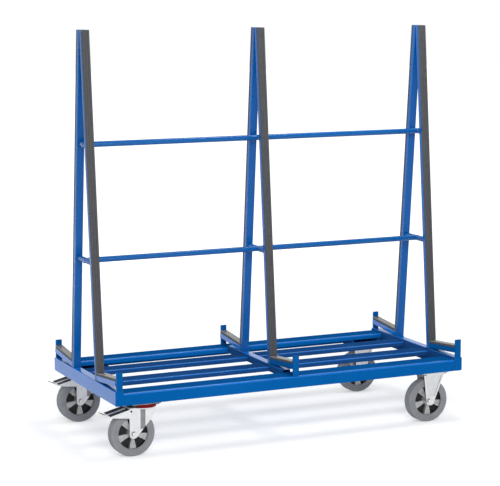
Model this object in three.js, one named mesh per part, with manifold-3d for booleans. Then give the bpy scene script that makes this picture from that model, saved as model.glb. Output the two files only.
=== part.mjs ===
// Double-sided sheet goods cart: a welded slatted frame on four castors, with three A-shaped racks.
// Sheets stand on the sloped arms, lean on the rubber-faced legs and are kept in by the stop posts.
// Millimetres, +Z up, X along the cart, origin on the floor in the middle of the footprint.
import * as THREE from "three";
import { mergeVertices } from "three/addons/utils/BufferGeometryUtils.js";
import Module from "manifold-3d";

const wasm = await Module();
wasm.setup();

// Fits
const gap = 0.3;              // between pieces that are welded, glued or bolted together
const runningGap = 0.3;       // radial, between a turning piece and its pin
const sideGap = 1.3;          // beside a turning piece

// Deck frame
const frameLength = 1710;
const frameWidth = 800;
const castorHeight = 235;     // floor to the underside of the frame
const railHeight = 53;
const railWidth = 100;
const railLip = 22;
const railWall = 4;
const railBend = 7;
const crossHeight = 63;       // of the end rails
const middleHeight = 36;      // of the middle cross member, level with the end rails on top
const crossWidth = 40;
const crossWall = 3;
const crossCorner = 5;
const ventRadius = 5;
const ventInset = 120;
const slatWidth = 92;
const slatHeight = 22;
const slatWall = 2.5;
const slatCorner = 4;
const slatSpacing = 236;
const slatDrop = 1.5;         // slat tops lie this far under the rail tops

// Racks
const rackHeight = 1816;
const footSpread = 325;       // over the outer faces of the two leg tubes, at their feet
const tubeWidth = 35;
const tubeDepth = 25;
const tubeWall = 2;
const tubeCorner = 4;
const rubberThickness = 12;
const rubberCorner = 3;
const grooveWidth = 4;
const grooveDepth = 2;
const postWidth = 30;
const postThickness = 10;
const postCorner = 3;
const postHeight = 380;       // of the post's top, above the floor
const tieDiameter = 25;
const lowerTieHeight = 807;
const upperTieHeight = 1318;

// Castors
const swivelEndInset = 148;   // from the frame's end to the kingpin
const fixedEndInset = 156;    // from the frame's other end to the fixed wheel's axle
const castorSideInset = 60;   // from the frame's side to the wheel's centre
const carrierLength = 150;
const carrierWidth = 115;
const carrierWall = 6;
const plateLength = 135;
const plateWidth = 110;
const plateThickness = 4;
const plateCorner = 8;
const boltSpacingLong = 105;
const boltSpacingWide = 84;
const boltHoleRadius = 5.5;
const wheelRadius = 100;
const wheelWidth = 50;
const tyreThickness = 28;
const treadCrown = 1;
const shoulderRadius = 5;
const rimWall = 4.5;
const rimWidth = 44;
const rimWeb = 6;
const hubRadius = 25;
const hubDraft = 3;           // the hub is narrower at its ends by this
const hubLength = 58;
const spokeCount = 5;
const spokeRoot = 13;         // a spoke's width at the hub
const spokeTip = 34;          // and at the felloe
const spokeDepth = 34;        // along the axle
const axleRadius = 8;
const axleHeadRadius = 11.5;
const axleHeadThickness = 7;
const forkWall = 4.5;
const swageDepth = 2;
const swivelTrail = 55;       // from the kingpin back to the axle
const crownThickness = 5;
const crownGap = 16;          // from the top plate's underside down to the fork's crown
const raceRadius = 52;
const raceFlare = 6;
const kingpinRadius = 10;
const kingpinNutRadius = 15;
const kingpinNutHeight = 10;
const fixedForkBack = 30;     // from the fixed axle to the fork's rear edge, at the top
const fixedForkFront = 80;    // and to its front edge
const fixedFootRadius = 22;
const fixedFootFront = 6;     // from the fixed axle to the middle of the fork's foot
const fixedCrown = 5;
const fixedBorder = 9;        // of the fork leg, around its pressed panel
const swivelFootRadius = 20;
const swivelForkBack = 20;    // from the axle to the fork's upright rear edge
const swivelForkFront = 102;  // from the axle to the front of the fork's crown
const swivelKneeFront = 81;   // where the fork's slanted front edge turns upright
const swivelKneeHeight = 62;
const swivelSwageWidth = 22;
const swivelSwageFront = 41;

// Brake pedal, measured from the axle
const pedalWall = 3;
const pedalGap = 0.6;         // between the pedal's cheeks and the fork
const pedalPivotBack = 13;
const pedalPivotUp = 102;
const pedalPinRadius = 5;
const pedalTipBack = 112;
const pedalTipUp = 82;
const pedalTipHeight = 6;     // of the folded front edge
const pedalHeelBack = 26;
const pedalHeelUp = 109;
const pedalSkirtBack = 95;
const pedalSkirtUp = 80;
const pedalSkirtFrontUp = 72;
const shoeLength = 24;
const shoeWidth = 40;
const shoeBack = 45;          // from the axle back to the middle of the brake shoe
const shoeGap = 9;            // from the tyre to the brake shoe, brake off

// Levels and places that follow from the sizes above
const railTop = castorHeight + railHeight;
const crossTop = castorHeight + crossHeight;
const halfLength = frameLength / 2;
const halfWidth = frameWidth / 2;
const rackSpacing = halfLength - crossWidth / 2;
const kingpinX = swivelEndInset - halfLength;
const fixedX = halfLength - fixedEndInset;
const fixedPlateFront = (fixedForkFront - fixedForkBack) / 2;
const castorTrack = frameWidth - 2 * castorSideInset;
const footLevel = crossTop + gap;
const rackRise = rackHeight - footLevel;
const legTopFace = tubeDepth + gap / 2;
const lean = (footSpread / 2 - legTopFace) / rackRise;
const leanAngle = Math.atan(lean);
const postFace = halfWidth - postThickness;
const wheelInset = wheelRadius - tyreThickness;
const forkInner = hubLength / 2 + sideGap;
const forkOuter = forkInner + forkWall;
const plateTop = castorHeight - gap;
const plateUnderside = plateTop - plateThickness;
const pedalOverhang = swivelTrail + pedalTipBack - swivelEndInset;

const colours = {
  paint: { color: 0x0a5ca8, roughness: 0.42, metalness: 0.1 },
  rubber: { color: 0x4d4f52, roughness: 0.85, metalness: 0 },
  tyre: { color: 0x828486, roughness: 0.8, metalness: 0 },
  zinc: { color: 0xc9ccce, roughness: 0.35, metalness: 0.9 },
  castAluminium: { color: 0xb4b6b8, roughness: 0.45, metalness: 0.85 },
};

const cart = new THREE.Group();
cart.position.x = pedalOverhang / 2;

function addPiece(name, geometry, colour, x = 0, y = 0, z = 0, turn = 0) {
  const mesh = new THREE.Mesh(geometry, new THREE.MeshStandardMaterial(colours[colour]));
  mesh.name = name;
  mesh.position.set(x, y, z);
  mesh.rotation.z = turn;
  cart.add(mesh);
}

// Closed mesh to solid and back
function signedVolume(position, index) {
  const [a, b, c] = [new THREE.Vector3(), new THREE.Vector3(), new THREE.Vector3()];
  let sum = 0;
  for (let i = 0; i < index.count; i += 3) {
    a.fromBufferAttribute(position, index.getX(i));
    b.fromBufferAttribute(position, index.getX(i + 1));
    c.fromBufferAttribute(position, index.getX(i + 2));
    sum += a.dot(b.cross(c)) / 6;
  }
  return sum;
}

function solid(geometry) {
  const bare = geometry.clone();
  bare.deleteAttribute("normal");
  bare.deleteAttribute("uv");
  const merged = mergeVertices(bare, 1e-4);
  const triVerts = Uint32Array.from(merged.index.array);
  if (signedVolume(merged.attributes.position, merged.index) < 0) {
    triVerts.reverse();
  }
  const vertProperties = Float32Array.from(merged.attributes.position.array);
  return new wasm.Manifold(new wasm.Mesh({ numProp: 3, vertProperties, triVerts }));
}

function geometryOf(body) {
  const mesh = body.getMesh();
  const geometry = new THREE.BufferGeometry();
  geometry.setAttribute("position", new THREE.BufferAttribute(mesh.vertProperties, 3));
  geometry.setIndex(new THREE.BufferAttribute(mesh.triVerts, 1));
  return geometry;
}

// Extrusions of a flat outline, centred on their length
const toX = new THREE.Matrix4().makeBasis(
  new THREE.Vector3(0, 1, 0), new THREE.Vector3(0, 0, 1), new THREE.Vector3(1, 0, 0));
const toY = new THREE.Matrix4().makeBasis(
  new THREE.Vector3(1, 0, 0), new THREE.Vector3(0, 0, 1), new THREE.Vector3(0, -1, 0));

function extrude(shape, length, steps = 1) {
  const options = { depth: length, bevelEnabled: false, curveSegments: steps };
  return new THREE.ExtrudeGeometry(shape, options).translate(0, 0, -length / 2);
}

const alongX = (shape, length, steps) => extrude(shape, length, steps).applyMatrix4(toX);
const alongY = (shape, length, steps) => extrude(shape, length, steps).applyMatrix4(toY);

function roundedOutline(target, width, height, radius) {
  const [w, h] = [width / 2 - radius, height / 2 - radius];
  target.moveTo(-w, -h - radius);
  target.absarc(w, -h, radius, -Math.PI / 2, 0);
  target.absarc(w, h, radius, 0, Math.PI / 2);
  target.absarc(-w, h, radius, Math.PI / 2, Math.PI);
  target.absarc(-w, -h, radius, Math.PI, Math.PI * 1.5);
  return target;
}

const roundedBar = (width, height, radius) => roundedOutline(new THREE.Shape(), width, height, radius);

function hollowSection(width, height, wall, corner) {
  const shape = roundedBar(width, height, corner);
  const bore = roundedOutline(new THREE.Path(), width - 2 * wall, height - 2 * wall, corner - wall * 0.7);
  shape.holes.push(bore);
  return shape;
}

function box(x0, x1, y0, y1, z0, z1) {
  const geometry = new THREE.BoxGeometry(x1 - x0, y1 - y0, z1 - z0);
  return solid(geometry.translate((x0 + x1) / 2, (y0 + y1) / 2, (z0 + z1) / 2));
}

function rod(radius, length, sides = 16) {
  return new THREE.CylinderGeometry(radius, radius, length, sides);
}

const uprightRod = (radius, length, sides) => rod(radius, length, sides).rotateX(Math.PI / 2);

// Deck: folded side rails, closed end rails, a middle cross member and four slats between them
function railOutline() {
  const [outer, inner] = [-halfWidth, -halfWidth + railWidth];
  const [bendIn, lipEnd] = [railBend - railWall, railTop - railLip];
  const shape = new THREE.Shape();
  shape.moveTo(outer, castorHeight);
  shape.lineTo(outer + railWall, castorHeight);
  shape.absarc(outer + railBend, railTop - railBend, bendIn, Math.PI, Math.PI / 2, true);
  shape.absarc(inner - railBend, railTop - railBend, bendIn, Math.PI / 2, 0, true);
  shape.lineTo(inner - railWall, lipEnd);
  shape.lineTo(inner, lipEnd);
  shape.absarc(inner - railBend, railTop - railBend, railBend, 0, Math.PI / 2);
  shape.absarc(outer + railBend, railTop - railBend, railBend, Math.PI / 2, Math.PI);
  return shape;
}

const railLength = frameLength - 2 * (crossWidth + gap);
addPiece("front_rail", alongX(railOutline(), railLength), "paint");
addPiece("back_rail", alongX(railOutline(), railLength), "paint", 0, 0, 0, Math.PI);

function endRail() {
  const bore = roundedBar(crossWidth - 2 * crossWall, crossHeight - 2 * crossWall, crossCorner - crossWall);
  let body = solid(alongY(roundedBar(crossWidth, crossHeight, crossCorner), frameWidth));
  body = body.subtract(solid(alongY(bore, frameWidth - 2 * crossWall)));
  for (const side of [-1, 1]) {
    const vent = uprightRod(ventRadius, 2 * crossWall, 12);
    vent.translate(0, side * (halfWidth - ventInset), -crossHeight / 2);
    body = body.subtract(solid(vent));
  }
  return geometryOf(body);
}

const crossLevel = castorHeight + crossHeight / 2;
const endRailX = halfLength - crossWidth / 2;
addPiece("left_end_rail", endRail(), "paint", -endRailX, 0, crossLevel);
addPiece("right_end_rail", endRail(), "paint", endRailX, 0, crossLevel);

const middleSection = hollowSection(crossWidth, middleHeight, crossWall, crossCorner);
const middleLength = frameWidth - 2 * (railWidth + gap);
const middleLevel = crossTop - middleHeight / 2;
addPiece("middle_cross_member", alongY(middleSection, middleLength), "paint", 0, 0, middleLevel);

const slatSection = hollowSection(slatWidth, slatHeight, slatWall, slatCorner);
const slatBay = halfLength - crossWidth * 1.5;
const slatX = (crossWidth + slatBay) / 2;
const slatZ = railTop - slatDrop - slatHeight / 2;
for (const [end, endSign] of [["left", -1], ["right", 1]]) {
  for (const [side, sideSign] of [["front", -1], ["back", 1]]) {
    const slat = alongX(slatSection, slatBay - 2 * gap);
    addPiece(`${side}_${end}_slat`, slat, "paint", endSign * slatX, sideSign * slatSpacing / 2, slatZ);
  }
}

// Racks: two leaning legs, their rubber facings, the sloped arms and the stop posts
function leaningBar(section, rise) {
  const bar = extrude(section, rise).translate(0, 0, rise / 2);
  return bar.applyMatrix4(new THREE.Matrix4().makeShear(0, 0, 0, 0, 0, lean));
}

function leg() {
  const tube = leaningBar(hollowSection(tubeWidth, tubeDepth, tubeWall, tubeCorner), rackRise);
  const lid = leaningBar(roundedBar(tubeWidth, tubeDepth, tubeCorner), tubeWall);
  lid.translate(0, lean * (rackRise - tubeWall), rackRise - tubeWall);
  const body = geometryOf(solid(tube).add(solid(lid)));
  return body.translate(0, tubeDepth / 2 - footSpread / 2, footLevel);
}

function rubberSection() {
  const [w, t] = [tubeWidth / 2, rubberThickness];
  const shape = new THREE.Shape();
  shape.moveTo(-w, 0);
  shape.lineTo(-w, rubberCorner - t);
  shape.lineTo(rubberCorner - w, -t);
  for (const side of [-1, 1]) {
    const middle = side * tubeWidth / 6;
    shape.lineTo(middle - grooveWidth / 2, -t);
    shape.lineTo(middle, grooveDepth - t);
    shape.lineTo(middle + grooveWidth / 2, -t);
  }
  shape.lineTo(w - rubberCorner, -t);
  shape.lineTo(w, rubberCorner - t);
  shape.lineTo(w, 0);
  return shape;
}

// The arm leaves the leg square to it, so its own axes are the leg's, turned by the lean.
const armFoot = new THREE.Vector3(0, -footSpread / 2, footLevel);
const armLength = (postFace - footSpread / 2) / Math.cos(leanAngle) + postThickness / 2;
const armTurn = new THREE.Matrix4().makeRotationX(-leanAngle).setPosition(armFoot);
const armLift = gap;
const rubberUnder = tubeDepth + gap + armLift;
const beyondPost = (face) => box(-tubeWidth, tubeWidth, -frameWidth, -face, 0, rackHeight);

function armTop(distance) {
  const top = (rubberUnder + rubberThickness) / Math.cos(leanAngle);
  return footLevel + top + (distance - footSpread / 2) * lean;
}

function supportArm(base) {
  const tube = alongY(hollowSection(tubeWidth, tubeDepth, tubeWall, tubeCorner), armLength);
  tube.translate(0, -armLength / 2 - gap, tubeDepth / 2 + armLift).applyMatrix4(armTurn);
  const rise = postHeight - base;
  const post = extrude(roundedBar(postWidth, postThickness, postCorner), rise);
  post.translate(0, -halfWidth + postThickness / 2, base + rise / 2);
  const trimmed = solid(tube).subtract(beyondPost(postFace + postThickness / 2));
  return geometryOf(trimmed.add(solid(post)));
}

function armRubber() {
  const strip = alongY(rubberSection(), armLength).rotateY(Math.PI);
  strip.translate(0, -armLength / 2 - gap, rubberUnder).applyMatrix4(armTurn);
  return geometryOf(solid(strip).subtract(beyondPost(postFace - gap)));
}

const legRubberFoot = armTop(footSpread / 2 + gap + rubberThickness) + gap;
for (const [rack, x] of [["left", -rackSpacing], ["middle", 0], ["right", rackSpacing]]) {
  const postBase = (rack === "middle" ? railTop : crossTop) + gap;
  for (const [side, turn] of [["front", 0], ["back", Math.PI]]) {
    addPiece(`${side}_${rack}_leg`, leg(), "paint", x, 0, 0, turn);
    const facing = leaningBar(rubberSection(), rackHeight - legRubberFoot);
    const rubberShift = (legRubberFoot - footLevel) * lean - footSpread / 2 - gap;
    facing.translate(0, rubberShift, legRubberFoot);
    addPiece(`${side}_${rack}_leg_rubber`, facing, "rubber", x, 0, 0, turn);
    addPiece(`${side}_${rack}_arm`, supportArm(postBase), "paint", x, 0, 0, turn);
    addPiece(`${side}_${rack}_arm_rubber`, armRubber(), "rubber", x, 0, 0, turn);
  }
}

// Tie rails: a round bar through all three racks, with a short tie between the legs of each
function tieRail(height) {
  const radius = tieDiameter / 2;
  const reach = (rackHeight - height - radius) * lean + gap / 2 - gap;
  let body = solid(rod(radius, 2 * rackSpacing + tieDiameter, 12).rotateZ(Math.PI / 2));
  for (const x of [-rackSpacing, 0, rackSpacing]) {
    body = body.add(solid(rod(radius, 2 * reach, 12).translate(x, 0, 0)));
  }
  return geometryOf(body);
}

addPiece("lower_tie_rail", tieRail(lowerTieHeight), "paint", 0, 0, lowerTieHeight);
addPiece("upper_tie_rail", tieRail(upperTieHeight), "paint", 0, 0, upperTieHeight);

// Castor carriers: a shallow channel that bridges the side rail's skirt and lip
function carrier() {
  const [x, y1] = [carrierLength / 2, -halfWidth + railWall + gap];
  const webTop = railTop - railLip - gap;
  const floor = castorHeight + carrierWall;
  let body = box(-x, x, y1, y1 + carrierWidth, castorHeight, webTop);
  body = body.subtract(box(carrierWall - x, x - carrierWall, -frameWidth, frameWidth, floor, railTop));
  return geometryOf(cutBoltHoles(body, 0, -castorTrack / 2, castorHeight + carrierWall / 2, carrierWall));
}

function cutBoltHoles(body, x, y, z, thickness) {
  let drilled = body;
  for (const side of [-1, 1]) {
    for (const end of [-1, 1]) {
      const hole = uprightRod(boltHoleRadius, 2 * thickness, 8);
      hole.translate(x + end * boltSpacingLong / 2, y + side * boltSpacingWide / 2, z);
      drilled = drilled.subtract(solid(hole));
    }
  }
  return drilled;
}

// Wheel: a grey elastic tyre on a cast five-spoke rim, turning on the axle along Y
function ring(points, steps) {
  return new THREE.LatheGeometry([...points, points[0]].map(([r, y]) => new THREE.Vector2(r, y)), steps);
}

function tyre() {
  const [half, edge] = [wheelWidth / 2, wheelRadius - treadCrown];
  const points = [[wheelInset + gap, -half + treadCrown]];
  points.push([wheelInset + rimWall, -half]);
  for (const side of [-1, 1]) {
    for (let step = 0; step <= 2; step++) {
      const turn = (side < 0 ? step : 2 - step) * Math.PI / 4;
      const r = edge - shoulderRadius + shoulderRadius * Math.sin(turn);
      points.push([r, side * (half - shoulderRadius + shoulderRadius * Math.cos(turn))]);
    }
    if (side < 0) {
      points.push([wheelRadius, 0]);
    }
  }
  points.push([wheelInset + rimWall, half], [wheelInset + gap, half - treadCrown]);
  return ring(points, 36);
}

function polygon(points) {
  return new THREE.Shape(points.map(([x, y]) => new THREE.Vector2(x, y)));
}

function rim() {
  const [half, web, inner] = [rimWidth / 2, rimWeb / 2, wheelInset - rimWall];
  const [bore, sunk] = [axleRadius + runningGap, rimWall / 2];
  const felloe = ring([[inner, -half], [wheelInset, -half], [wheelInset, half], [inner, half]], 36);
  const hub = ring([[bore, -hubLength / 2], [hubRadius - hubDraft, -hubLength / 2], [hubRadius, 0],
    [hubRadius - hubDraft, hubLength / 2], [bore, hubLength / 2]], 16);
  const disc = ring([[bore + sunk, -web], [inner + sunk, -web], [inner + sunk, web], [bore + sunk, web]], 36);
  const [root, tip, near, far] = [spokeRoot / 2, spokeTip / 2, sunk - hubRadius, -inner - sunk];
  const spoke = polygon([[-root, near], [-tip, far], [tip, far], [root, near]]);
  let body = solid(felloe).add(solid(hub)).add(solid(disc));
  for (let count = 0; count < spokeCount; count++) {
    body = body.add(solid(alongY(spoke, spokeDepth).rotateY(count * 2 * Math.PI / spokeCount)));
  }
  return geometryOf(body);
}

function axle() {
  const headMiddle = forkOuter + gap + axleHeadThickness / 2;
  let body = solid(rod(axleRadius, 2 * headMiddle));
  for (const side of [-1, 1]) {
    const head = rod(axleHeadRadius, axleHeadThickness, 6).translate(0, side * headMiddle, 0);
    body = body.add(solid(head));
  }
  return geometryOf(body);
}

// Fork legs: flat plates with a pressed panel, cut from outlines drawn from the axle
function forkLegs(outline, panel) {
  let body = null;
  for (const side of [-1, 1]) {
    const middle = side * (forkInner + forkWall / 2);
    let leg = solid(alongY(outline, forkWall, 4).translate(0, middle, 0));
    leg = leg.subtract(solid(alongY(panel, 2 * swageDepth).translate(0, side * forkOuter, 0)));
    leg = leg.subtract(solid(rod(axleRadius + runningGap, 4 * forkWall).translate(0, middle, 0)));
    body = body ? body.add(leg) : leg;
  }
  return body;
}

function topPlate(x) {
  const plate = extrude(roundedBar(plateLength, plateWidth, plateCorner), plateThickness);
  const level = plateTop - plateThickness / 2 - wheelRadius;
  return cutBoltHoles(solid(plate.translate(x, 0, level)), x, 0, level, plateThickness);
}

function fixedFork() {
  const top = plateUnderside - wheelRadius;
  const rise = top - fixedCrown;
  const [footBack, footFront] = [fixedFootRadius - fixedFootFront, fixedFootRadius + fixedFootFront];
  const outline = new THREE.Shape();
  outline.moveTo(-fixedForkBack, top);
  outline.lineTo(-footBack, 0);
  outline.absarc(fixedFootFront, 0, fixedFootRadius, Math.PI, Math.PI * 2);
  outline.lineTo(fixedForkFront, top);
  const back = (z) => fixedBorder - footBack - (fixedForkBack - footBack) * z / top;
  const front = (z) => footFront + (fixedForkFront - footFront) * z / top - fixedBorder;
  const [z0, z1] = [fixedFootRadius, rise - fixedBorder];
  const panel = polygon([[back(z0), z0], [front(z0), z0], [front(z1), z1], [back(z1), z1]]);
  const crown = box(-fixedForkBack, fixedForkFront, -forkOuter, forkOuter, rise, top);
  return geometryOf(forkLegs(outline, panel).add(crown).add(topPlate(fixedPlateFront)));
}

const crownTop = plateUnderside - crownGap - wheelRadius;

function swivelFork() {
  const crownUnder = crownTop - crownThickness;
  const outline = new THREE.Shape();
  outline.moveTo(-swivelForkBack, crownTop);
  outline.lineTo(-swivelForkBack, 0);
  outline.absarc(swivelFootRadius - swivelForkBack, 0, swivelFootRadius, Math.PI, Math.PI * 1.8);
  outline.lineTo(swivelKneeFront, swivelKneeHeight);
  outline.lineTo(swivelForkFront, crownTop);
  const [x0, x1] = [swivelSwageFront - swivelSwageWidth / 2, swivelSwageFront + swivelSwageWidth / 2];
  const [z0, z1] = [swivelFootRadius, crownUnder];
  let body = forkLegs(outline, polygon([[x0, z0], [x1, z0], [x1, z1], [x0, z1]]));
  body = body.add(box(-swivelForkBack, swivelForkFront, -forkOuter, forkOuter, crownUnder, crownTop));
  const raceTop = plateUnderside - crownGap / 2 - gap - wheelRadius;
  const race = uprightRod(raceRadius, raceTop - crownUnder, 24);
  body = body.add(solid(race.translate(swivelTrail, 0, (raceTop + crownUnder) / 2)));
  const bore = uprightRod(kingpinRadius + runningGap, wheelRadius);
  body = body.subtract(solid(bore.translate(swivelTrail, 0, crownTop)));
  const pinHole = rod(pedalPinRadius + runningGap, 4 * forkOuter, 12);
  return geometryOf(body.subtract(solid(pinHole.translate(-pedalPivotBack, 0, pedalPivotUp))));
}

// Swivel plate: top plate, upper ball race and the kingpin with its nut under the fork's crown
function swivelPlate() {
  const under = plateUnderside - wheelRadius;
  const nutTop = crownTop - crownThickness - gap;
  const raceDepth = crownGap / 2;
  const race = new THREE.CylinderGeometry(raceRadius + raceFlare, raceRadius, raceDepth, 24);
  race.rotateX(Math.PI / 2).translate(swivelTrail, 0, under - raceDepth / 2);
  let body = topPlate(swivelTrail).add(solid(race));
  const pinFoot = nutTop - kingpinNutHeight;
  const pin = uprightRod(kingpinRadius, under - pinFoot);
  body = body.add(solid(pin.translate(swivelTrail, 0, (under + pinFoot) / 2)));
  const nut = uprightRod(kingpinNutRadius, kingpinNutHeight, 6);
  return geometryOf(body.add(solid(nut.translate(swivelTrail, 0, nutTop - kingpinNutHeight / 2))));
}

// Brake pedal: a folded channel over the wheel, pivoted on the fork, with the shoe under its tread
function pedal() {
  const cheekInner = forkOuter + pedalGap;
  const cheekOuter = cheekInner + pedalWall;
  const outline = (drop) => {
    const open = drop * pedalHeelUp / pedalWall;
    const shape = new THREE.Shape();
    shape.moveTo(-pedalTipBack, pedalTipUp - drop);
    shape.lineTo(-pedalSkirtBack, pedalSkirtUp - open);
    shape.lineTo(-swivelForkBack, pedalSkirtFrontUp - open);
    shape.lineTo(2 * pedalPinRadius - pedalPivotBack, pedalPivotUp);
    shape.absarc(-pedalPivotBack, pedalPivotUp, 2 * pedalPinRadius, 0, Math.PI / 2);
    shape.lineTo(-pedalHeelBack, pedalHeelUp - drop);
    shape.lineTo(pedalWall - pedalTipBack, pedalTipUp + pedalTipHeight - drop);
    return shape;
  };
  const blank = solid(alongY(outline(0), 2 * cheekOuter, 4));
  let body = blank.subtract(solid(alongY(outline(pedalWall), 2 * cheekInner, 4)));
  const aboveFork = [-pedalHeelBack, 0, -cheekInner, cheekInner, 0, wheelRadius * 2];
  body = body.subtract(box(...aboveFork));
  const shoeSpan = [-shoeBack - shoeLength / 2, -shoeBack + shoeLength / 2, -shoeWidth / 2, shoeWidth / 2];
  const shoe = box(...shoeSpan, 0, pedalHeelUp).intersect(blank);
  body = body.add(shoe.subtract(solid(rod(wheelRadius + shoeGap, 2 * wheelWidth, 36))));
  for (const side of [-1, 1]) {
    const pin = rod(pedalPinRadius, forkWall + 2 * pedalGap + pedalWall, 12);
    pin.translate(-pedalPivotBack, side * (forkInner + cheekOuter) / 2, pedalPivotUp);
    body = body.add(solid(pin));
  }
  return geometryOf(body);
}

for (const [side, sign] of [["front", -1], ["back", 1]]) {
  const turn = sign < 0 ? 0 : Math.PI;
  addPiece(`${side}_left_carrier`, carrier(), "paint", kingpinX, 0, 0, turn);
  addPiece(`${side}_right_carrier`, carrier(), "paint", fixedX + fixedPlateFront, 0, 0, turn);
  const y = sign * castorTrack / 2;
  const place = [kingpinX - swivelTrail, y, wheelRadius];
  addPiece(`${side}_swivel_plate`, swivelPlate(), "zinc", ...place);
  addPiece(`${side}_swivel_fork`, swivelFork(), "zinc", ...place);
  addPiece(`${side}_brake_pedal`, pedal(), "zinc", ...place);
  addPiece(`${side}_left_axle`, axle(), "zinc", ...place);
  addPiece(`${side}_left_rim`, rim(), "castAluminium", ...place);
  addPiece(`${side}_left_tyre`, tyre(), "tyre", ...place);
  const fixedPlace = [fixedX, y, wheelRadius];
  addPiece(`${side}_fixed_fork`, fixedFork(), "zinc", ...fixedPlace);
  addPiece(`${side}_right_axle`, axle(), "zinc", ...fixedPlace);
  addPiece(`${side}_right_rim`, rim(), "castAluminium", ...fixedPlace);
  addPiece(`${side}_right_tyre`, tyre(), "tyre", ...fixedPlace);
}

export default cart;
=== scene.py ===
from math import atan2, cos, pi, radians, sin

import bpy
from mathutils import Euler, Matrix, Vector


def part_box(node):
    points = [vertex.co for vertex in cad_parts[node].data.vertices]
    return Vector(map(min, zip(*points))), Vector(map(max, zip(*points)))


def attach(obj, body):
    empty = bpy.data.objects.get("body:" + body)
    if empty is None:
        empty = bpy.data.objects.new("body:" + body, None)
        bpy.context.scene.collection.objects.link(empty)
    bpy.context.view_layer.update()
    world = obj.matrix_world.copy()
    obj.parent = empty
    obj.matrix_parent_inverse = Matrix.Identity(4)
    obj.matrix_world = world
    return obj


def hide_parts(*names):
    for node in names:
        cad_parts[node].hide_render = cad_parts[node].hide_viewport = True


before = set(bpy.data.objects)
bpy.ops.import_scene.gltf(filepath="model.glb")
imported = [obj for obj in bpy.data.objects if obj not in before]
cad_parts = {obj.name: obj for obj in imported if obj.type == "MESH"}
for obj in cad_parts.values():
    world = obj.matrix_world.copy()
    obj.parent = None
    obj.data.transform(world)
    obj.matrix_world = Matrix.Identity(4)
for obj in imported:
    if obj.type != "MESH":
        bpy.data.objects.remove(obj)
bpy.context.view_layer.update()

# The viewpoint: a long lens a little above the deck, off the front left corner.
# The picture is 500 by 486 points, and the focal length was fitted in those points.
picture_width, focal_points, sensor = 500, 1811.22, 36
pitch_down, yaw_right, roll = 8.31, 24.79, -0.10
camera_place, sight_limit = (-3.4737, -7.4549, 2.0341), 100
camera_data = bpy.data.cameras.new("viewpoint")
camera_data.sensor_width = sensor
camera_data.sensor_fit = "HORIZONTAL"
camera_data.lens = focal_points / picture_width * sensor
camera_data.clip_end = sight_limit
camera = bpy.data.objects.new("viewpoint", camera_data)
camera.location = camera_place
aim = Euler((radians(90 - pitch_down), 0, radians(-yaw_right))).to_matrix()
camera.rotation_euler = (aim @ Matrix.Rotation(radians(roll), 3, "Z")).to_euler()
bpy.context.scene.collection.objects.link(camera)
bpy.context.scene.camera = camera
bpy.context.scene.view_settings.view_transform = "Standard"

# The studio floor: a pale seamless sheet that keeps the cart's soft shadow.
# What the camera and the reflections see of it is lifted towards white, more so further away.
floor_size, floor_drop = 60, 0.0005
lift_near, lift_far = (1.4, 0.40), (4.5, 0.85)
paper_tone, paper_roughness = (0.80, 0.81, 0.82, 1), 0.9
bpy.ops.object.select_all(action="DESELECT")
bpy.ops.mesh.primitive_plane_add(size=floor_size, location=(0, 0, -floor_drop))
floor = bpy.context.object
floor.name = "studio_floor"
floor_paper = bpy.data.materials.new("studio_paper")
floor_paper.use_nodes = True
tree = floor_paper.node_tree
paper = tree.nodes["Principled BSDF"]
paper.inputs["Base Color"].default_value = paper_tone
paper.inputs["Roughness"].default_value = paper_roughness
paper.inputs["Specular IOR Level"].default_value = 0.0
rays = tree.nodes.new("ShaderNodeLightPath")
seen = tree.nodes.new("ShaderNodeMath")
seen.operation = "MAXIMUM"
tree.links.new(rays.outputs["Is Camera Ray"], seen.inputs[0])
tree.links.new(rays.outputs["Is Glossy Ray"], seen.inputs[1])
place = tree.nodes.new("ShaderNodeTexCoord")
distance = tree.nodes.new("ShaderNodeVectorMath")
distance.operation = "LENGTH"
tree.links.new(place.outputs["Object"], distance.inputs[0])
far = tree.nodes.new("ShaderNodeMapRange")
far.interpolation_type = "SMOOTHSTEP"
far.inputs["From Min"].default_value, far.inputs["To Min"].default_value = lift_near
far.inputs["From Max"].default_value, far.inputs["To Max"].default_value = lift_far
tree.links.new(distance.outputs["Value"], far.inputs["Value"])
lift = tree.nodes.new("ShaderNodeMath")
lift.operation = "MULTIPLY"
tree.links.new(seen.outputs[0], lift.inputs[0])
tree.links.new(far.outputs["Result"], lift.inputs[1])
paper.inputs["Emission Color"].default_value = (1, 1, 1, 1)
tree.links.new(lift.outputs[0], paper.inputs["Emission Strength"])
floor.data.materials.append(floor_paper)

# The room: white to the camera, a softer grey as fill light.
# Reflections see it white behind the cart and dim on the viewer's side, where the lights stand back.
fill_level, white_level = 0.45, 1.0
dim_side, white_side = (-0.5, 0.15), (0.4, 1.0)
mix_share, mix_first, mix_second = 0, 2, 3
world = bpy.data.worlds.new("studio_room")
bpy.context.scene.world = world
world.use_nodes = True
tree = world.node_tree
rays = tree.nodes.new("ShaderNodeLightPath")
place = tree.nodes.new("ShaderNodeTexCoord")
axes = tree.nodes.new("ShaderNodeSeparateXYZ")
tree.links.new(place.outputs["Generated"], axes.inputs[0])
mirrored = tree.nodes.new("ShaderNodeMapRange")
mirrored.interpolation_type = "SMOOTHSTEP"
mirrored.inputs["From Min"].default_value, mirrored.inputs["To Min"].default_value = dim_side
mirrored.inputs["From Max"].default_value, mirrored.inputs["To Max"].default_value = white_side
tree.links.new(axes.outputs["Y"], mirrored.inputs["Value"])
in_mirrors = tree.nodes.new("ShaderNodeMix")
in_mirrors.inputs[mix_first].default_value = fill_level
tree.links.new(rays.outputs["Is Glossy Ray"], in_mirrors.inputs[mix_share])
tree.links.new(mirrored.outputs["Result"], in_mirrors.inputs[mix_second])
in_view = tree.nodes.new("ShaderNodeMix")
in_view.inputs[mix_second].default_value = white_level
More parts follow.
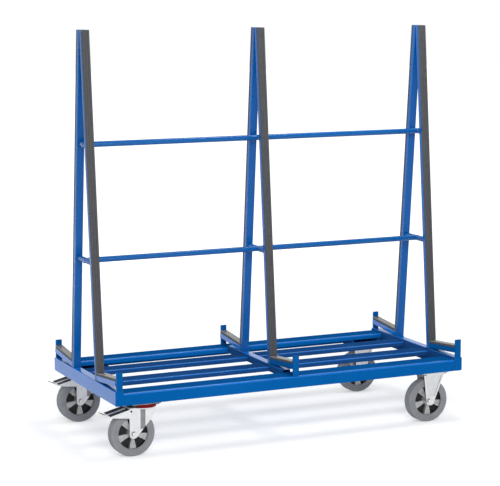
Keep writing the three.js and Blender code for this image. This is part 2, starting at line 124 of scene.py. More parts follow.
tree.links.new(rays.outputs["Is Camera Ray"], in_view.inputs[mix_share])
tree.links.new(in_mirrors.outputs[0], in_view.inputs[mix_first])
room = tree.nodes["Background"]
room.inputs["Color"].default_value = (1, 1, 1, 1)
tree.links.new(in_view.outputs[0], room.inputs["Strength"])


# Softboxes: a small one overhead that draws the deck's shadow, a large one in front, a weak one behind.
# All stand well outside the picture, and the one behind leaves no reflections.
def softbox(name, place, target, size, power, mirrored):
    lamp = bpy.data.lights.new(name, "AREA")
    lamp.shape = "SQUARE"
    lamp.size = size
    lamp.energy = power
    box = bpy.data.objects.new(name, lamp)
    box.location = place
    box.rotation_euler = (Vector(target) - Vector(place)).to_track_quat("-Z", "Y").to_euler()
    box.visible_glossy = mirrored
    bpy.context.scene.collection.objects.link(box)


softbox("top_softbox", place=(0.55, -0.1, 3.1), target=(0.2, 0, 0), size=1.0, power=30, mirrored=True)
softbox("front_softbox", place=(-2.0, -6.4, 3.6), target=(0, 0, 0.7), size=3.0, power=270, mirrored=True)
softbox("back_softbox", place=(-3.2, 5.0, 1.0), target=(-0.4, 0, 0.5), size=2.6, power=120, mirrored=False)


# Side rails: sheet steel folded to an inverted channel, in a blue powder coat with a fine orange peel.
# Each piece keeps the shape of its solid and gets the small round edges that coating leaves.
# The coat is glossy over the folds, which are painted a lighter blue as a painted highlight, and the flat
# tops are painted a darker blue as painted shade.
def object_noise(tree, scale, detail=2.0):
    place = tree.nodes.new("ShaderNodeTexCoord")
    noise = tree.nodes.new("ShaderNodeTexNoise")
    noise.inputs["Scale"].default_value = scale
    noise.inputs["Detail"].default_value = detail
    tree.links.new(place.outputs["Object"], noise.inputs["Vector"])
    return noise


noise_low, noise_high = 0.3, 0.7


def spread(tree, noise, low, high):
    ranged = tree.nodes.new("ShaderNodeMapRange")
    ranged.inputs["From Min"].default_value = noise_low
    ranged.inputs["From Max"].default_value = noise_high
    ranged.inputs["To Min"].default_value = low
    ranged.inputs["To Max"].default_value = high
    tree.links.new(noise.outputs["Fac"], ranged.inputs["Value"])
    return ranged.outputs["Result"]


def two_tones(tree, noise, first, second):
    ramp = tree.nodes.new("ShaderNodeValToRGB")
    ramp.color_ramp.elements[0].position = noise_low
    ramp.color_ramp.elements[0].color = (*first, 1)
    ramp.color_ramp.elements[1].position = noise_high
    ramp.color_ramp.elements[1].color = (*second, 1)
    tree.links.new(noise.outputs["Fac"], ramp.inputs["Fac"])
    return ramp.outputs["Color"]


def finish(name, tones, tone_scale, roughness, grain, metallic=0.0, specular=0.5):
    material = bpy.data.materials.new(name)
    material.use_nodes = True
    tree = material.node_tree
    shader = tree.nodes["Principled BSDF"]
    shader.inputs["Metallic"].default_value = metallic
    shader.inputs["Specular IOR Level"].default_value = specular
    clouds = object_noise(tree, tone_scale)
    tree.links.new(two_tones(tree, clouds, *tones), shader.inputs["Base Color"])
    tree.links.new(spread(tree, clouds, *roughness), shader.inputs["Roughness"])
    grain_scale, grain_depth, grain_strength = grain
    bump = tree.nodes.new("ShaderNodeBump")
    bump.inputs["Strength"].default_value = grain_strength
    bump.inputs["Distance"].default_value = grain_depth
    tree.links.new(object_noise(tree, grain_scale).outputs["Fac"], bump.inputs["Height"])
    tree.links.new(bump.outputs["Normal"], shader.inputs["Normal"])
    return material


def make_active(piece):
    if bpy.context.mode != "OBJECT":
        bpy.ops.object.mode_set(mode="OBJECT")
    bpy.ops.object.select_all(action="DESELECT")
    bpy.context.view_layer.objects.active = piece
    piece.select_set(True)


def round_edges(piece, radius):
    make_active(piece)
    rounding = piece.modifiers.new("rounding", "BEVEL")
    rounding.width = radius
    rounding.segments = 2
    rounding.limit_method = "ANGLE"
    rounding.angle_limit = radians(30)
    bpy.ops.object.modifier_apply(modifier=rounding.name)
    bpy.ops.object.shade_smooth_by_angle(angle=radians(40))
    flats = piece.modifiers.new("flats", "WEIGHTED_NORMAL")
    flats.keep_sharp = True
    bpy.ops.object.modifier_apply(modifier=flats.name)


weld_distance = 0.00002


def finished_copy(node, body, material, radius):
    piece = bpy.data.objects.new(f"{node}_finished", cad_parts[node].data.copy())
    bpy.context.scene.collection.objects.link(piece)
    make_active(piece)
    bpy.ops.object.mode_set(mode="EDIT")
    bpy.ops.mesh.select_all(action="SELECT")
    bpy.ops.mesh.remove_doubles(threshold=weld_distance)
    bpy.ops.mesh.dissolve_limited(angle_limit=radians(1))
    bpy.ops.object.mode_set(mode="OBJECT")
    round_edges(piece, radius)
    piece.data.materials.clear()
    piece.data.materials.append(material)
    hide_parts(node)
    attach(piece, body)
    return piece


def coat_faces(piece, material, chosen):
    piece.data.materials.append(material)
    for face in piece.data.polygons:
        if chosen(face):
            face.material_index = len(piece.data.materials) - 1


fold_end, flat_start = 0.2, 0.97


def on_fold(face):
    return fold_end < face.normal.z < flat_start


sides = ("front", "back")
blue_tones = ((0.002, 0.106, 0.365), (0.003, 0.116, 0.40))
top_shade_tones = ((0.002, 0.080, 0.275), (0.003, 0.088, 0.30))
sheen_tones = ((0.003, 0.150, 0.56), (0.004, 0.165, 0.60))
cloud_scale = 4
orange_peel = (700, 0.0004, 0.05)
satin, matt, gloss = (0.48, 0.58), (0.5, 0.6), (0.12, 0.18)
satin_blue = finish("satin_blue", blue_tones, cloud_scale, satin, orange_peel, specular=0.0)
top_shade_blue = finish("top_shade_blue", top_shade_tones, cloud_scale, matt, orange_peel, specular=0.0)
sheen_gloss_blue = finish("sheen_gloss_blue", sheen_tones, cloud_scale, gloss, orange_peel)
for side in sides:
    rail = finished_copy(f"{side}_rail", "frame", satin_blue, radius=0.0012)
    # The folds take the lighter glossy blue: a painted highlight.
    coat_faces(rail, sheen_gloss_blue, on_fold)
    # The flat tops are painted a darker blue: painted shade.
    coat_faces(rail, top_shade_blue, lambda face: face.normal.z >= flat_start)

# End rails and middle cross member: drawn tube, welded across the ends and the middle of the side rails.
# The tube's coat is glossy and painted a lighter blue, a painted sheen, but satin at the welded ends, and the
# left faces of the middle member and right end rail are painted dark as painted shade, where the slats shade
# them.
# Faces are told by how far their normal lies along an axis: straight, mostly or hardly.
straight, mostly, hardly = 0.9, 0.7, 0.3
shade_slat_tones = ((0.010, 0.062, 0.21), (0.014, 0.072, 0.24))
shade_blue = finish("shade_blue", shade_slat_tones, cloud_scale, matt, orange_peel, specular=0.0)
for node in ("left_end_rail", "middle_cross_member", "right_end_rail"):
    tube = finished_copy(node, "frame", sheen_gloss_blue, radius=0.0005)
    coat_faces(tube, satin_blue, lambda face: abs(face.normal.y) > hardly)
    if node != "left_end_rail":
        # Left faces of the middle member and right end rail: painted shade.
        coat_faces(tube, shade_blue, lambda face: face.normal.x < -straight)

# Slats and castor carriers: flat tube and channel between the rails, welded in at their ends.
# They lie lower, in the shade of the rails, and are painted a darker, matt blue as painted shade, with glossy
# folds on the slats painted lighter as a painted highlight.
ends = ("left", "right")
for end in ends:
    for side in sides:
        slat = finished_copy(f"{side}_{end}_slat", "frame", shade_blue, radius=0.0010)
        coat_faces(slat, sheen_gloss_blue, on_fold)
        finished_copy(f"{side}_{end}_carrier", "frame", shade_blue, radius=0.0010)

# Rack legs, arms and posts: rectangular tube and flat bar, mitred and welded into three A-shaped racks.
# The posts stand on the rails and stop the sheets from sliding off the arms.
# The left faces of the back arms and of the front left one are glossier and painted a lighter blue, a painted
# sheen.
silk = (0.22, 0.30)
leg_tones = ((0.002, 0.104, 0.38), (0.003, 0.114, 0.41))
leg_blue = finish("leg_blue", leg_tones, cloud_scale, silk, orange_peel, specular=0.20)
arm_tones = ((0.002, 0.094, 0.320), (0.003, 0.103, 0.350))
arm_blue = finish("arm_blue", arm_tones, cloud_scale, satin, orange_peel, specular=0.01)
racks = ("left", "middle", "right")
for rack in racks:
    for side in sides:
        finished_copy(f"{side}_{rack}_leg", "frame", leg_blue, radius=0.0008)
        arm = finished_copy(f"{side}_{rack}_arm", "frame", arm_blue, radius=0.0008)
        if side == "back" or rack == "left":
            # Painted sheen on the left faces of these arms.
            coat_faces(arm, sheen_gloss_blue, lambda face: face.normal.x < -straight)

# Rubber facings: grooved profile glued on the legs' outer faces and on top of the arms.
# Matt dark grey with a fine grain; on top of the arms it is polished and painted paler, a painted highlight
# on the faces turned up to the light.
rubber_tones = ((0.066, 0.068, 0.074), (0.086, 0.088, 0.095))
lit_top_tones = ((0.12, 0.119, 0.118), (0.16, 0.159, 0.158))
rubber_scale, rubber_grain = 60, (1200, 0.0004, 0.2)
rubber_matt, rubber_polish, arm_top = (0.6, 0.8), (0.18, 0.26), 0.6
grey_rubber = finish("grey_rubber", rubber_tones, rubber_scale, rubber_matt, rubber_grain, specular=0.3)
lit_top_rubber = finish("lit_top_rubber", lit_top_tones, rubber_scale, rubber_polish, rubber_grain, specular=0.9)
for rack in racks:
    for side in sides:
        finished_copy(f"{side}_{rack}_leg_rubber", "frame", grey_rubber, radius=0.0006)
        strip = finished_copy(f"{side}_{rack}_arm_rubber", "frame", grey_rubber, radius=0.0006)
        coat_faces(strip, lit_top_rubber, lambda face: face.normal.z > arm_top)


# Tie rails: round bar through the three racks, with a short tie between the legs of each.
# The bar's ends are cut square and lightly chamfered.
def round_bar(name, start, end, radius, chamfer):
    run = Vector(end) - Vector(start)
    bpy.ops.object.select_all(action="DESELECT")
    bpy.ops.mesh.primitive_cylinder_add(
        vertices=32, radius=radius, depth=run.length, location=(Vector(start) + Vector(end)) / 2,
        rotation=run.to_track_quat("Z", "Y").to_euler())
    bar = bpy.context.object
    bar.name = name
    bpy.ops.object.transform_apply(location=True, rotation=True, scale=True)
    bpy.ops.object.mode_set(mode="EDIT")
    bpy.ops.mesh.select_all(action="SELECT")
    bpy.ops.mesh.edges_select_sharp(sharpness=radians(60))
    bpy.ops.mesh.bevel(offset=chamfer, segments=2)
    bpy.ops.object.mode_set(mode="OBJECT")
    bpy.ops.object.shade_smooth_by_angle(angle=radians(30))
    return bar


def join(pieces, name):
    make_active(pieces[0])
    for piece in pieces:
        piece.select_set(True)
    bpy.ops.object.join()
    joined = bpy.context.object
    joined.name = name
    return joined


def middle_of(node):
    low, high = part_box(node)
    return (low + high) / 2


bar_chamfer, tie_chamfer = 0.002, 0.0005
tie_blue = finish("tie_blue", blue_tones, cloud_scale, silk, orange_peel, specular=0.3)
rack_middles = [middle_of(f"front_{rack}_leg").x for rack in racks]
for level in ("lower", "upper"):
    low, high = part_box(f"{level}_tie_rail")
    radius = (high.z - low.z) / 2
    height = (high.z + low.z) / 2
    bars = [round_bar("bar", (low.x, 0, height), (high.x, 0, height), radius, bar_chamfer)]
    for x in rack_middles:
        bars.append(round_bar("tie", (x, low.y, height), (x, high.y, height), radius, tie_chamfer))
    tie_rail = join(bars, f"{level}_tie_rail_finished")
    tie_rail.data.materials.append(tie_blue)
    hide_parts(f"{level}_tie_rail")
    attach(tie_rail, "frame")


# Weld beads: the seams that hold the racks and the slats, rippled by the torch and coated with the rest.
# Each length of bead is drawn once by extruding a round end, and then copied to every seam.
def moved_copy(piece, name, shift, along=(1, 0, 0)):
    turn = Vector((1, 0, 0)).rotation_difference(Vector(along)).to_matrix().to_4x4()
    twin = bpy.data.objects.new(name, piece.data.copy())
    twin.data.transform(Matrix.Translation(shift) @ turn)
    bpy.context.scene.collection.objects.link(twin)
    return twin


bead_radius, ripple_pitch = 0.0026, 0.0032
end_taper, first_swell, ripple_dip = 0.5, 1.7, 0.84


def weld_bead(name, length):
    bpy.ops.object.select_all(action="DESELECT")
    bpy.ops.mesh.primitive_circle_add(
        vertices=10, radius=bead_radius * end_taper, fill_type="NGON",
        location=(-length / 2, 0, 0), rotation=(0, pi / 2, 0))
    bead = bpy.context.object
    bead.name = name
    bpy.ops.object.transform_apply(location=True, rotation=True, scale=True)
    bpy.ops.object.mode_set(mode="EDIT")
    bpy.ops.mesh.select_mode(type="FACE")
    bpy.ops.mesh.select_all(action="SELECT")
    steps = 2 * round(length / ripple_pitch)
    for step in range(1, steps + 1):
        bpy.ops.mesh.extrude_region_move(TRANSFORM_OT_translate={"value": (length / steps, 0, 0)})
        swell = ripple_dip if step % 2 == 0 else 1 / ripple_dip
        if step == 1:
            swell = first_swell
        middle = (-length / 2 + step * length / steps, 0, 0)
        bpy.ops.transform.resize(value=(1, swell, swell), center_override=middle)
    bpy.ops.mesh.select_all(action="SELECT")
    bpy.ops.mesh.normals_make_consistent(inside=False)
    bpy.ops.object.mode_set(mode="OBJECT")
    bpy.ops.object.shade_smooth_by_angle(angle=radians(60))
    return bead


tube_depth, post_thickness, post_seam = 0.025, 0.010, 0.024
corner_margin, slat_margin = 0.006, 0.012
across = (0, 1, 0)
leg_low, leg_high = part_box("front_left_leg")
tube_width = leg_high.x - leg_low.x
foot_level = leg_low.z
foot_outer = abs(leg_low.y)
slat_low, slat_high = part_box("front_left_slat")
foot_bead = weld_bead("foot_bead", tube_depth)
cross_bead = weld_bead("cross_bead", tube_width - corner_margin)
post_bead = weld_bead("post_bead", post_seam)
slat_bead = weld_bead("slat_bead", slat_high.y - slat_low.y - slat_margin)
deck_beads = []
for end in ends:
    for side in sides:
        low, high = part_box(f"{side}_{end}_slat")
        for x in (low.x, high.x):
            middle = (x, (low.y + high.y) / 2, high.z)
            deck_beads.append(moved_copy(slat_bead, "bead", middle, across))
deck_welds = join(deck_beads, "deck_welds")
# The deck's beads share the slats' painted shade.
deck_welds.data.materials.append(shade_blue)
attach(deck_welds, "frame")
for rack, x in zip(racks, rack_middles):
    beads = []
    for side, sign in (("front", -1), ("back", 1)):
        for edge in (-1, 1):
            middle = (x + edge * tube_width / 2, sign * (foot_outer - tube_depth / 2), foot_level)
            beads.append(moved_copy(foot_bead, "bead", middle, across))
        beads.append(moved_copy(cross_bead, "bead", (x, sign * (foot_outer - tube_depth), foot_level)))
        low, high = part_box(f"{side}_{rack}_arm")
        post_inner = max(abs(low.y), abs(high.y)) - post_thickness
        beads.append(moved_copy(post_bead, "bead", (x, sign * post_inner, low.z)))
    rack_welds = join(beads, f"{rack}_rack_welds")
    rack_welds.data.materials.append(leg_blue)
    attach(rack_welds, "frame")
for bead in (foot_bead, cross_bead, post_bead, slat_bead):
    bpy.data.objects.remove(bead)

# Fixed forks, swivel plates and swivel forks: pressed from steel sheet and zinc plated.
# The plates are bolted under the carriers, and each swivel fork turns on its plate's kingpin.
# The pressed panels and swages and the plates' front and back edges are painted darker as painted shade, and
# the forks' edges that face left, low down by the wheel, are painted dark as painted shade.
zinc_scale, zinc_grain = 45, (900, 0.0002, 0.06)
zinc_shine, zinc_dull = (0.34, 0.46), (0.5, 0.6)
zinc_tones = ((0.70, 0.71, 0.72), (0.80, 0.81, 0.82))
panel_shade_tones = ((0.62, 0.63, 0.64), (0.72, 0.73, 0.74))
swage_shade_tones = ((0.24, 0.24, 0.25), (0.30, 0.30, 0.31))
dark_zinc_tones = ((0.05, 0.05, 0.055), (0.08, 0.08, 0.085))
bright_zinc = finish("bright_zinc", zinc_tones, zinc_scale, zinc_shine, zinc_grain, metallic=0.65)
panel_shade_zinc = finish("panel_shade_zinc", panel_shade_tones, zinc_scale, zinc_shine, zinc_grain, metallic=0.65)
shade_zinc = finish("shade_zinc", swage_shade_tones, zinc_scale, zinc_dull, zinc_grain, metallic=0.4)
dark_zinc = finish("dark_zinc", dark_zinc_tones, zinc_scale, zinc_dull, zinc_grain, metallic=0.4)
panel_offset, leg_inside, level_slack = 0.0328, 0.0302, 0.0004
for side in sides:
    plate = finished_copy(f"{side}_swivel_plate", "frame", bright_zinc, radius=0.0008)
    coat_faces(plate, shade_zinc, lambda face: abs(face.normal.y) > mostly)
    wheel_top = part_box(f"{side}_left_tyre")[1].z
    middle = middle_of(f"{side}_left_tyre").y
    for kind, body, pressed_shade in (("fixed", "frame", panel_shade_zinc), ("swivel", f"{side}_swivel", shade_zinc)):
        fork = finished_copy(f"{side}_{kind}_fork", body, bright_zinc, radius=0.0010)
        coat_faces(fork, pressed_shade, lambda face: abs(face.normal.y) > straight
                   and abs(abs(face.center.y - middle) - panel_offset) < level_slack)
        # Painted shade along the forks' left-facing edges.
        coat_faces(fork, dark_zinc, lambda face: face.normal.x < -mostly
                   and abs(face.center.y - middle) > leg_inside and face.center.z < wheel_top)


# Tyres: grey elastic rubber moulded on the rim, with shallow rings on both walls and a grooved tread.
# One section is drawn, rounded and spun about the axle, and the other three are copies of it.
def pick(piece, items, chosen):
    bpy.ops.object.mode_set(mode="EDIT")
    bpy.ops.mesh.select_mode(type={"vertices": "VERT", "polygons": "FACE"}[items])
    bpy.ops.mesh.select_all(action="DESELECT")
    bpy.ops.object.mode_set(mode="OBJECT")
    for item in getattr(piece.data, items):
        item.select = chosen(item)
    bpy.ops.object.mode_set(mode="EDIT")


def spin_section(name, middle, width, height, centre, axis, steps, shape_section):
    # The section stands in the plane of the Y and Z axes, and its corners are shaped before it is spun.
    bpy.ops.object.select_all(action="DESELECT")
    bpy.ops.mesh.primitive_plane_add(size=1, location=middle, rotation=(0, pi / 2, 0))
    piece = bpy.context.object
    piece.name = name
    piece.scale = (height, width, 1)
    bpy.ops.object.transform_apply(location=True, rotation=True, scale=True)
    shape_section(piece)
    bpy.ops.object.mode_set(mode="EDIT")
    bpy.ops.mesh.select_all(action="SELECT")
    bpy.ops.mesh.delete(type="ONLY_FACE")
    bpy.ops.mesh.select_all(action="SELECT")
    bpy.ops.mesh.spin(steps=steps, angle=2 * pi, center=centre, axis=axis)
    bpy.ops.mesh.select_all(action="SELECT")
    bpy.ops.mesh.remove_doubles(threshold=weld_distance)
    bpy.ops.mesh.normals_make_consistent(inside=False)
    bpy.ops.object.mode_set(mode="OBJECT")
    # A thin ring can come out inside out, and its outermost face tells.
    outermost = max(piece.data.polygons, key=lambda face: (face.center - centre).length)
    if outermost.normal.dot(outermost.center - centre) < 0:
        bpy.ops.object.mode_set(mode="EDIT")
        bpy.ops.mesh.flip_normals()
        bpy.ops.object.mode_set(mode="OBJECT")
    return piece


wheels = [(side, end) for end in ends for side in sides]
axles = {(side, end): middle_of(f"{side}_{end}_tyre") for side, end in wheels}
axle = axles["front", "left"]
low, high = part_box("front_left_tyre")
tyre_radius = (high.z - low.z) / 2
tyre_width = high.y - low.y
rim_low, rim_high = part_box("front_left_rim")
rim_radius = (rim_high.z - rim_low.z) / 2
rim_gap, tread_tilt = 0.0003, 0.1
tyre_inside = rim_radius + rim_gap
tyre_mid = axle + Vector((0, 0, (tyre_radius + tyre_inside) / 2))
shoulder_radius, lip_radius = 0.005, 0.002
ring_margin, ring_slope, ring_depth = 0.004, 0.0012, 0.0012
tread_margin, groove_slope, groove_depth = 0.013, 0.0012, 0.0012


def round_tyre_corners(section):
    pick(section, "vertices", lambda corner: corner.co.z > tyre_mid.z)
    bpy.ops.mesh.bevel(offset=shoulder_radius, segments=4, affect="VERTICES")
    pick(section, "vertices", lambda corner: corner.co.z < tyre_mid.z - shoulder_radius)
    bpy.ops.mesh.bevel(offset=lip_radius, segments=2, affect="VERTICES")


tyre = spin_section("front_left_tyre_finished", tyre_mid, tyre_width, tyre_radius - tyre_inside,
                    axle, axis=(0, 1, 0), steps=96, shape_section=round_tyre_corners)
widest = max(face.area for face in tyre.data.polygons if abs(face.normal.y) > straight)
for facing in (-1, 1):
    pick(tyre, "polygons", lambda face: face.normal.y * facing > straight and face.area > widest / 2)
    bpy.ops.mesh.inset(thickness=ring_margin)
    bpy.ops.mesh.inset(thickness=ring_slope, depth=-ring_depth)
    bpy.ops.mesh.inset(thickness=ring_margin)
    bpy.ops.mesh.inset(thickness=ring_slope, depth=ring_depth)
tread_level = tyre_radius - shoulder_radius / 2
pick(tyre, "polygons", lambda face: abs(face.normal.y) < tread_tilt
     and (face.center - axle).length > tread_level)
bpy.ops.mesh.inset(thickness=tread_margin)
bpy.ops.mesh.inset(thickness=groove_slope, depth=-groove_depth)
make_active(tyre)
bpy.ops.object.shade_smooth_by_angle(angle=radians(35))
tyre_tones = ((0.24, 0.247, 0.266), (0.28, 0.287, 0.306))
tyre_scale, tyre_matt, tyre_grain = 30, (0.65, 0.8), (800, 0.0004, 0.15)
tyre_grey = finish("tyre_grey", tyre_tones, tyre_scale, tyre_matt, tyre_grain, specular=0.3)
tyre.data.materials.append(tyre_grey)
for side, end in wheels:
    node = f"{side}_{end}_tyre"
    fitted = tyre
    if (side, end) != ("front", "left"):
        fitted = moved_copy(tyre, f"{node}_finished", axles[side, end] - axle)
    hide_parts(node)
    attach(fitted, f"{side}_{end}_wheel")

# Rims: cast aluminium with five spokes that widen outwards, on a closed web.
# The web between the spokes and the felloe's inner faces are painted black as painted shade in the deep
# pockets, and the felloe's sides are coloured tyre grey, where the tyre's lip covers them.
cast_tones = ((0.36, 0.36, 0.365), (0.52, 0.52, 0.525))
cast_scale, cast_shine, cast_grain = 80, (0.4, 0.55), (500, 0.0004, 0.15)
cast_rim = finish("cast_rim", cast_tones, cast_scale, cast_shine, cast_grain, metallic=0.5)
pocket_shade_tones = ((0.014, 0.014, 0.015), (0.030, 0.030, 0.032))
paint_scale, paint_matt, paint_grain = 40, (0.5, 0.65), (600, 0.0004, 0.1)
pocket_shade_black = finish("pocket_shade_black", pocket_shade_tones, paint_scale, paint_matt, paint_grain, specular=0.2)
web_face, felloe_depth = 0.0035, 0.006


def on_felloe(rim, face, centre):
    reach = [rim.data.vertices[index].co - centre for index in face.vertices]
    return min(Vector((arm.x, arm.z)).length for arm in reach) > rim_radius - felloe_depth


for side, end in wheels:
    rim = finished_copy(f"{side}_{end}_rim", f"{side}_{end}_wheel", cast_rim, radius=0.0012)
    centre = axles[side, end]
    coat_faces(rim, pocket_shade_black, lambda face: abs(face.normal.y) > straight
               and abs(face.center.y - centre.y) < web_face)
    coat_faces(rim, pocket_shade_black, lambda face: abs(face.normal.y) < hardly and on_felloe(rim, face, centre))
    coat_faces(rim, tyre_grey, lambda face: abs(face.normal.y) > hardly and on_felloe(rim, face, centre))

# Axles: steel bolts through fork and hub, zinc plated, with hexagon ends.
# Their edges are chamfered as on any turned bolt, and the hexagon's flats are painted dark as painted shade.
bolt_side = 0.5
for side, end in wheels:
    body = f"{side}_swivel" if end == "left" else "frame"
    axle_bolt = finished_copy(f"{side}_{end}_axle", body, bright_zinc, radius=0.0008)
    coat_faces(axle_bolt, dark_zinc, lambda face: abs(face.normal.y) < bolt_side)

# Swivel seals: red plastic rings that close the ball races under the top plates.
# The section is wedge shaped, because the upper race widens towards the plate.
kingpins = {side: middle_of(f"{side}_swivel_plate") for side in sides}
seal_inside, seal_outside, seal_top_inside = 0.0526, 0.0582, 0.0575
seal_low, seal_high, seal_chamfer = 0.2152, 0.2290, 0.001
seal_mid = kingpins["front"] + Vector((0, (seal_inside + seal_outside) / 2, 0))
seal_mid.z = (seal_low + seal_high) / 2


def wedge(section):
    pick(section, "vertices", lambda corner: corner.co.z > seal_mid.z and corner.co.y < seal_mid.y)
    bpy.ops.transform.translate(value=(0, seal_top_inside - seal_inside, 0))
    pick(section, "vertices", lambda corner: corner.co.y > seal_mid.y)
    bpy.ops.mesh.bevel(offset=seal_chamfer, segments=2, affect="VERTICES")


seal = spin_section("front_swivel_seal", seal_mid, seal_outside - seal_inside, seal_high - seal_low,
                    kingpins["front"], axis=(0, 0, 1), steps=64, shape_section=wedge)
make_active(seal)
bpy.ops.object.shade_smooth_by_angle(angle=radians(35))
red_tones = ((0.16, 0.003, 0.006), (0.20, 0.004, 0.008))
seal_scale, seal_matt, seal_grain = 40, (0.45, 0.6), (900, 0.0003, 0.08)
seal_red = finish("seal_red", red_tones, seal_scale, seal_matt, seal_grain, specular=0.08)
seal.data.materials.append(seal_red)
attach(seal, "frame")
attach(moved_copy(seal, "back_swivel_seal", kingpins["back"] - kingpins["front"]), "frame")

# Swivel locks: black housings of bent sheet steel on the forks' crowns, close around the seals; their black
# is also painted shade, covering the seals' left side, which lies in shade under the rails.
# The guard is spun about the kingpin, and the box behind it, for the locking spring, is drawn out of it.
lock_tones = ((0.010, 0.010, 0.011), (0.018, 0.018, 0.020))
fitting_scale, lock_matt, fitting_grain = 50, (0.45, 0.6), (700, 0.0004, 0.15)
lock_shade_black = finish("lock_shade_black", lock_tones, fitting_scale, lock_matt, fitting_grain, specular=0.3)
lock_inside, lock_wall, lock_radius = 0.0587, 0.0026, 0.0006
lock_low, lock_high = 0.2153, 0.2246
lock_reach, lock_box = radians(48), 0.0125
lock_middle = kingpins["front"] - Vector((lock_inside + lock_wall / 2, 0, 0))
lock_middle.z = (lock_low + lock_high) / 2
bpy.ops.object.select_all(action="DESELECT")
bpy.ops.mesh.primitive_plane_add(size=1, location=lock_middle, rotation=(pi / 2, 0, 0))
lock = bpy.context.object
lock.name = "front_swivel_lock"
lock.scale = (lock_wall, lock_high - lock_low, 1)
bpy.ops.object.transform_apply(location=True, rotation=True, scale=True)
bpy.ops.object.mode_set(mode="EDIT")
bpy.ops.mesh.select_all(action="SELECT")
bpy.ops.transform.rotate(value=lock_reach, orient_axis="Z", center_override=kingpins["front"])
bpy.ops.mesh.spin(steps=24, angle=2 * lock_reach, center=kingpins["front"], axis=(0, 0, -1))
bpy.ops.mesh.select_all(action="SELECT")
bpy.ops.mesh.remove_doubles(threshold=weld_distance)
bpy.ops.mesh.normals_make_consistent(inside=False)
pick(lock, "polygons", lambda face: face.normal.x < -straight and face.center.x < lock_middle.x)
bpy.ops.mesh.extrude_region_move(TRANSFORM_OT_translate={"value": (-lock_box, 0, 0)})
round_edges(lock, lock_radius)
lock.data.materials.append(lock_shade_black)
back_lock = moved_copy(lock, "back_swivel_lock", kingpins["back"] - kingpins["front"])
for side, fitted in (("front", lock), ("back", back_lock)):
    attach(fitted, f"{side}_swivel")

# Brake pedals: folded zinc-plated steel that swings on the fork, over the wheel, with a release lever.
# Two ribbed treads of black moulded plastic are clipped along its sloping top, with the steel bare between.
pedal_satin, pin_shade_end = (0.4, 0.55), 0.0002
pedal_black = finish("pedal_black", lock_tones, fitting_scale, pedal_satin, fitting_grain, specular=0.3)
low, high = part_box("front_brake_pedal")
pedal_half = (high.y - low.y) / 2
for side in sides:
    pedal = finished_copy(f"{side}_brake_pedal", f"{side}_pedal", bright_zinc, radius=0.0006)
    middle = middle_of(f"{side}_brake_pedal").y
    # The pivot pin's ends are painted black as painted shade for the dark pin hole.
    coat_faces(pedal, pedal_black, lambda face: abs(face.center.y - middle) > pedal_half - pin_shade_end)
tread_tip = axle + Vector((-0.109, 0, 0.088))
tread_heel = axle + Vector((-0.027, 0, 0.1088))
tread_run = tread_heel - tread_tip
tread_slope = atan2(tread_run.z, tread_run.x)
tread_rise = Vector((-sin(tread_slope), 0, cos(tread_slope)))
tread_thickness, tread_gap, tread_radius = 0.003, 0.0003, 0.0004
tread_share, tread_overhang = 0.62, 0.001
tread_width = pedal_half * tread_share
rib_height, rib_count = 0.0012, 17


def tread_strip(name, offset):
    middle = (tread_tip + tread_heel) / 2 + tread_rise * (tread_thickness / 2 + tread_gap)
    middle.y += offset
    bpy.ops.object.select_all(action="DESELECT")
    bpy.ops.mesh.primitive_grid_add(
        x_subdivisions=rib_count, y_subdivisions=3, size=1, location=middle, rotation=(0, -tread_slope, 0))
    strip = bpy.context.object
    strip.name = name
    strip.scale = (tread_run.length, tread_width, 1)
    bpy.ops.object.transform_apply(location=True, rotation=True, scale=True)
    thicken = strip.modifiers.new("thicken", "SOLIDIFY")
    thicken.thickness = tread_thickness
    thicken.offset = 0
    bpy.ops.object.modifier_apply(modifier=thicken.name)

    def on_rib(face):
        along = (face.center - tread_tip).dot(tread_run.normalized())
        inner_row = abs(face.center.y - middle.y) < tread_width / 4
        odd_row = int(along / tread_run.length * rib_count) % 2 == 1
        return face.normal.z > straight and inner_row and odd_row

    pick(strip, "polygons", on_rib)
    bpy.ops.mesh.extrude_region_shrink_fatten(TRANSFORM_OT_shrink_fatten={"value": rib_height})
    round_edges(strip, tread_radius)
    return strip


edge_offset = pedal_half - tread_width / 2 + tread_overhang
treads = join([tread_strip("near", -edge_offset), tread_strip("far", edge_offset)], "front_pedal_treads")
treads.data.materials.append(pedal_black)
lever_thickness, lever_width, lever_root_length, lever_radius = 0.003, 0.010, 0.016, 0.0008
lever_bends = ((0.0088, 0.0040), (0.0132, 0.0072))
lever_inset, lever_drop = 0.004, 0.0045
lever_root = tread_tip + Vector((lever_inset, pedal_half - lever_width / 2, -lever_drop))
bpy.ops.object.select_all(action="DESELECT")
bpy.ops.mesh.primitive_cube_add(size=1, location=lever_root)
lever = bpy.context.object
lever.name = "front_pedal_lever"
lever.scale = (lever_root_length, lever_width, lever_thickness)
bpy.ops.object.transform_apply(location=True, rotation=True, scale=True)
pick(lever, "polygons", lambda face: face.normal.x < -straight)
for reach, rise in lever_bends:
    bpy.ops.mesh.extrude_region_move(TRANSFORM_OT_translate={"value": (-reach, 0, rise)})
round_edges(lever, lever_radius)
lever.data.materials.append(pedal_black)
for kind, front_piece in (("treads", treads), ("lever", lever)):
    back_piece = moved_copy(front_piece, f"back_pedal_{kind}", axles["back", "left"] - axle)
    for side, fitted in (("front", front_piece), ("back", back_piece)):
        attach(fitted, f"{side}_pedal")


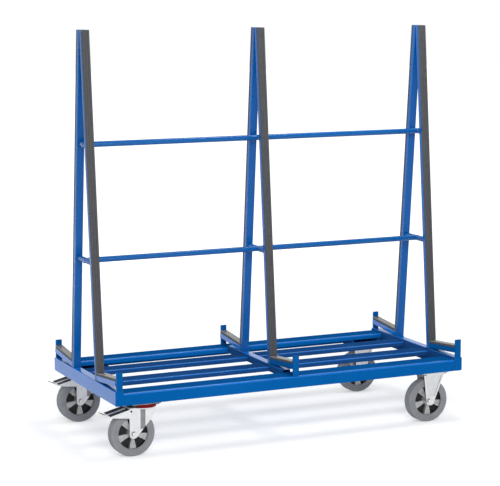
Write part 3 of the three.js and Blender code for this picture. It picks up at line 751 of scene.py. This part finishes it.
# Castor bolts: hexagon bolts from below through plate and carrier, with a washer and a nut on top.
# One bolt is modelled, and the four of each castor are copies of it.
def disc(name, sides, radius, depth, level, chamfer):
    bpy.ops.object.select_all(action="DESELECT")
    bpy.ops.mesh.primitive_cylinder_add(vertices=sides, radius=radius, depth=depth, location=(0, 0, level))
    piece = bpy.context.object
    piece.name = name
    bpy.ops.object.transform_apply(location=True, rotation=True, scale=True)
    bpy.ops.object.mode_set(mode="EDIT")
    bpy.ops.mesh.select_all(action="SELECT")
    bpy.ops.mesh.edges_select_sharp(sharpness=radians(80))
    bpy.ops.mesh.bevel(offset=chamfer, segments=1)
    bpy.ops.object.mode_set(mode="OBJECT")
    bpy.ops.object.shade_smooth_by_angle(angle=radians(30))
    return piece


bolt_radius, bolt_end, seat_gap = 0.004, 0.004, 0.0002
head_radius, head_depth, head_chamfer = 0.0075, 0.0055, 0.0006
washer_radius, washer_depth, washer_chamfer = 0.0085, 0.0016, 0.0004
plate_thickness, carrier_wall = 0.004, 0.006
hexagon, shank_sides, washer_sides = 6, 16, 24
plate_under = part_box("front_swivel_plate")[1].z - plate_thickness
washer_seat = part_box("front_left_carrier")[0].z + carrier_wall + seat_gap
nut_seat = washer_seat + washer_depth
bolt_top = nut_seat + head_depth + bolt_end
bolt = join([
    disc("head", hexagon, head_radius, head_depth, plate_under - seat_gap - head_depth / 2, head_chamfer),
    disc("shank", shank_sides, bolt_radius, bolt_top - plate_under, (bolt_top + plate_under) / 2,
         head_chamfer),
    disc("washer", washer_sides, washer_radius, washer_depth, washer_seat + washer_depth / 2, washer_chamfer),
    disc("nut", hexagon, head_radius, head_depth, nut_seat + head_depth / 2, head_chamfer),
], "castor_bolt")
bolt_long, bolt_wide = 0.0525, 0.0420
for side, end in wheels:
    centre = kingpins[side] if end == "left" else middle_of(f"{side}_fixed_fork")
    copies = []
    for x in (centre.x - bolt_long, centre.x + bolt_long):
        for y in (centre.y - bolt_wide, centre.y + bolt_wide):
            copies.append(moved_copy(bolt, "bolt", (x, y, 0)))
    castor_bolts = join(copies, f"{side}_{end}_castor_bolts")
    castor_bolts.data.materials.append(dark_zinc)
    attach(castor_bolts, "frame")
bpy.data.objects.remove(bolt)
